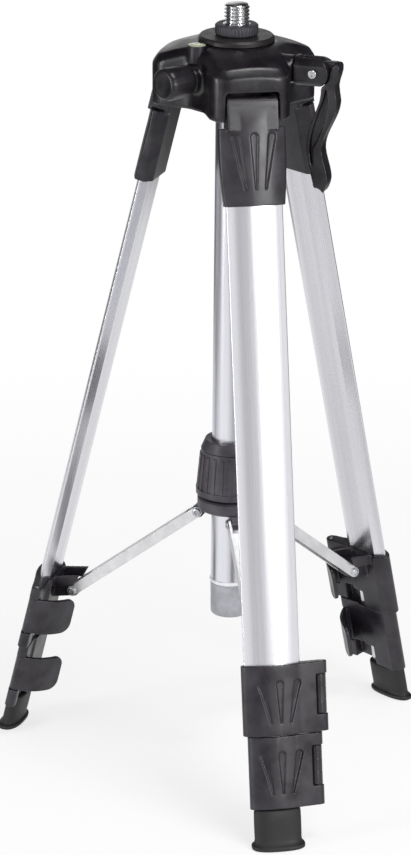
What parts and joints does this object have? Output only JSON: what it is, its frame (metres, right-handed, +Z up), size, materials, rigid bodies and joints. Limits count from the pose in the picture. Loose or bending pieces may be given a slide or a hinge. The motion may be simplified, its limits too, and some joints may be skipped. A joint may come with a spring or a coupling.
{
  "type": "elevating instrument tripod",
  "caption": "Folding tripod with telescopic flip-lock legs, a sliding spreader and a crank-driven centre column that carries a threaded stud for a small levelling instrument.",
  "frame": {"origin": "on the column's axis at the lock ring's top, where an instrument seats", "axes": "+Z up along the column; the front leg points along -Y"},
  "size_m": [0.2874, 0.2584, 0.5035],
  "materials": {
    "black_plastic": "satin moulded",
    "leg_aluminium": "satin anodised",
    "column_aluminium": "satin anodised",
    "strut_aluminium": "pressed, matt",
    "grey_plastic": "matt",
    "pad_plastic": "matt",
    "platform_metal": "turned, dark",
    "stud_chrome": "polished",
    "ring_metal": "knurled, dark",
    "steel": "plain",
    "vial_glass": "clear",
    "foot_rubber": "matt"
  },
  "bodies": {
    "head": {"head": "black_plastic", "leg_hinge_pins": "steel", "guide_tube": "column_aluminium", "guide_end_cap": "grey_plastic", "bubble_housing": "black_plastic", "bubble_vial": "vial_glass", "brake_pad": "pad_plastic"},
    "column": {"elevator_column": "column_aluminium", "platform": "platform_metal", "mounting_stud": "stud_chrome"},
    "lock_ring": {"lock_ring": "ring_metal"},
    "crank": {"crank_shaft": "steel", "pinion": "steel", "crank_boss": "black_plastic", "crank_screw": "steel"},
    "crank_arm": {"crank_arm": "black_plastic"},
    "lock_knob": {"lock_knob": "black_plastic", "lock_screw": "steel"},
    "hub": {"hub": "black_plastic", "hub_rivets": "steel"},
    "hub_lock_ring": {"hub_lock_ring": "black_plastic"},
    "front_leg": {"front_leg_top": "black_plastic", "front_upper_tube": "leg_aluminium", "front_upper_collar": "black_plastic", "front_upper_lever_pin": "steel", "front_strut_rivet": "steel"},
    "front_strut": {"front_strut": "strut_aluminium"},
    "front_upper_lever": {"front_upper_lever": "black_plastic"},
    "front_middle": {"front_middle_tube": "leg_aluminium", "front_lower_collar": "black_plastic", "front_lower_lever_pin": "steel"},
    "front_lower_lever": {"front_lower_lever": "black_plastic"},
    "front_lower": {"front_lower_tube": "leg_aluminium", "front_foot": "foot_rubber"},
    "right_leg": {"right_leg_top": "black_plastic", "right_upper_tube": "leg_aluminium", "right_upper_collar": "black_plastic", "right_upper_lever_pin": "steel", "right_strut_rivet": "steel"},
    "right_strut": {"right_strut": "strut_aluminium"},
    "right_upper_lever": {"right_upper_lever": "black_plastic"},
    "right_middle": {"right_middle_tube": "leg_aluminium", "right_lower_collar": "black_plastic", "right_lower_lever_pin": "steel"},
    "right_lower_lever": {"right_lower_lever": "black_plastic"},
    "right_lower": {"right_lower_tube": "leg_aluminium", "right_foot": "foot_rubber"},
    "left_leg": {"left_leg_top": "black_plastic", "left_upper_tube": "leg_aluminium", "left_upper_collar": "black_plastic", "left_upper_lever_pin": "steel", "left_strut_rivet": "steel"},
    "left_strut": {"left_strut": "strut_aluminium"},
    "left_upper_lever": {"left_upper_lever": "black_plastic"},
    "left_middle": {"left_middle_tube": "leg_aluminium", "left_lower_collar": "black_plastic", "left_lower_lever_pin": "steel"},
    "left_lower_lever": {"left_lower_lever": "black_plastic"},
    "left_lower": {"left_lower_tube": "leg_aluminium", "left_foot": "foot_rubber"}
  },
  "joints": [
    {"name": "column_lift", "type": "slide", "parent": "head", "child": "column", "axis": [0, 0, 1], "range_m": [0, 0.25]},
    {"name": "lock_ring_turn", "type": "hinge", "parent": "column", "child": "lock_ring", "pos_m": [0, 0, -0.0035], "axis": [0, 0, 1], "continuous": true},
    {"name": "crank_turn", "type": "hinge", "parent": "head", "child": "crank", "pos_m": [-0.006, -0.01039, -0.023], "axis": [0.866, -0.5, 0], "range_deg": [0, 2870]},
    {"name": "crank_arm_fold", "type": "hinge", "parent": "crank", "child": "crank_arm", "pos_m": [0.04206, -0.03814, -0.023], "axis": [-0.5, -0.866, 0], "range_deg": [0, 90]},
    {"name": "column_clamp_turn", "type": "hinge", "parent": "head", "child": "lock_knob", "pos_m": [-0.03551, -0.0205, -0.03], "axis": [-0.866, -0.5, 0], "range_deg": [0, 360]},
    {"name": "front_leg_fold", "type": "hinge", "parent": "head", "child": "front_leg", "pos_m": [0, -0.0422, -0.041], "axis": [1, 0, 0], "range_deg": [0, 13.66]},
    {"name": "right_leg_fold", "type": "hinge", "parent": "head", "child": "right_leg", "pos_m": [0.03655, 0.0211, -0.041], "axis": [-0.5, 0.866, 0], "range_deg": [0, 13.66]},
    {"name": "left_leg_fold", "type": "hinge", "parent": "head", "child": "left_leg", "pos_m": [-0.03655, 0.0211, -0.041], "axis": [-0.5, -0.866, 0], "range_deg": [0, 13.66]},
    {"name": "hub_slide", "type": "slide", "parent": "head", "child": "hub", "axis": [0, 0, 1], "range_m": [0, 0.03459]},
    {"name": "hub_lock_turn", "type": "hinge", "parent": "hub", "child": "hub_lock_ring", "pos_m": [0, 0, -0.2936], "axis": [0, 0, 1], "range_deg": [0, 90]},
    {"name": "front_strut_swing", "type": "hinge", "parent": "hub", "child": "front_strut", "pos_m": [0, -0.021, -0.3234], "axis": [1, 0, 0], "range_deg": [0, 51.85]},
    {"name": "front_middle_slide", "type": "slide", "parent": "front_leg", "child": "front_middle", "axis": [0, -0.2362, -0.9717], "range_m": [0, 0.24]},
    {"name": "front_lower_slide", "type": "slide", "parent": "front_middle", "child": "front_lower", "axis": [0, -0.2362, -0.9717], "range_m": [0, 0.25]},
    {"name": "front_upper_lever_flip", "type": "hinge", "parent": "front_leg", "child": "front_upper_lever", "pos_m": [0.032, -0.1266, -0.3993], "axis": [0, -0.2362, -0.9717], "range_deg": [0, 100]},
    {"name": "front_lower_lever_flip", "type": "hinge", "parent": "front_middle", "child": "front_lower_lever", "pos_m": [0.0278, -0.13718, -0.44283], "axis": [0, -0.2362, -0.9717], "range_deg": [0, 100]},
    {"name": "right_strut_swing", "type": "hinge", "parent": "hub", "child": "right_strut", "pos_m": [0.01819, 0.0105, -0.3234], "axis": [-0.5, 0.866, 0], "range_deg": [0, 51.85]},
    {"name": "right_middle_slide", "type": "slide", "parent": "right_leg", "child": "right_middle", "axis": [0.2045, 0.1181, -0.9717], "range_m": [0, 0.24]},
    {"name": "right_lower_slide", "type": "slide", "parent": "right_middle", "child": "right_lower", "axis": [0.2045, 0.1181, -0.9717], "range_m": [0, 0.25]},
    {"name": "right_upper_lever_flip", "type": "hinge", "parent": "right_leg", "child": "right_upper_lever", "pos_m": [0.09364, 0.09101, -0.3993], "axis": [0.2045, 0.1181, -0.9717], "range_deg": [0, 100]},
    {"name": "right_lower_lever_flip", "type": "hinge", "parent": "right_middle", "child": "right_lower_lever", "pos_m": [0.1049, 0.09267, -0.44283], "axis": [0.2045, 0.1181, -0.9717], "range_deg": [0, 100]},
    {"name": "left_strut_swing", "type": "hinge", "parent": "hub", "child": "left_strut", "pos_m": [-0.01819, 0.0105, -0.3234], "axis": [-0.5, -0.866, 0], "range_deg": [0, 51.85]},
    {"name": "left_middle_slide", "type": "slide", "parent": "left_leg", "child": "left_middle", "axis": [-0.2045, 0.1181, -0.9717], "range_m": [0, 0.24]},
    {"name": "left_lower_slide", "type": "slide", "parent": "left_middle", "child": "left_lower", "axis": [-0.2045, 0.1181, -0.9717], "range_m": [0, 0.25]},
    {"name": "left_upper_lever_flip", "type": "hinge", "parent": "left_leg", "child": "left_upper_lever", "pos_m": [-0.12564, 0.03559, -0.3993], "axis": [-0.2045, 0.1181, -0.9717], "range_deg": [0, 100]},
    {"name": "left_lower_lever_flip", "type": "hinge", "parent": "left_middle", "child": "left_lower_lever", "pos_m": [-0.1327, 0.04452, -0.44283], "axis": [-0.2045, 0.1181, -0.9717], "range_deg": [0, 100]}
  ],
  "couplings": [
    {"joint": "crank_turn", "follows": "column_lift", "rad_per_m": 200},
    {"joint": "right_leg_fold", "follows": "front_leg_fold", "ratio": 1},
    {"joint": "left_leg_fold", "follows": "front_leg_fold", "ratio": 1},
    {"joint": "hub_slide", "follows": "front_leg_fold", "m_per_rad": 0.14509},
    {"joint": "front_strut_swing", "follows": "front_leg_fold", "ratio": 3.7958},
    {"joint": "right_strut_swing", "follows": "front_leg_fold", "ratio": 3.7958},
    {"joint": "left_strut_swing", "follows": "front_leg_fold", "ratio": 3.7958}
  ]
}
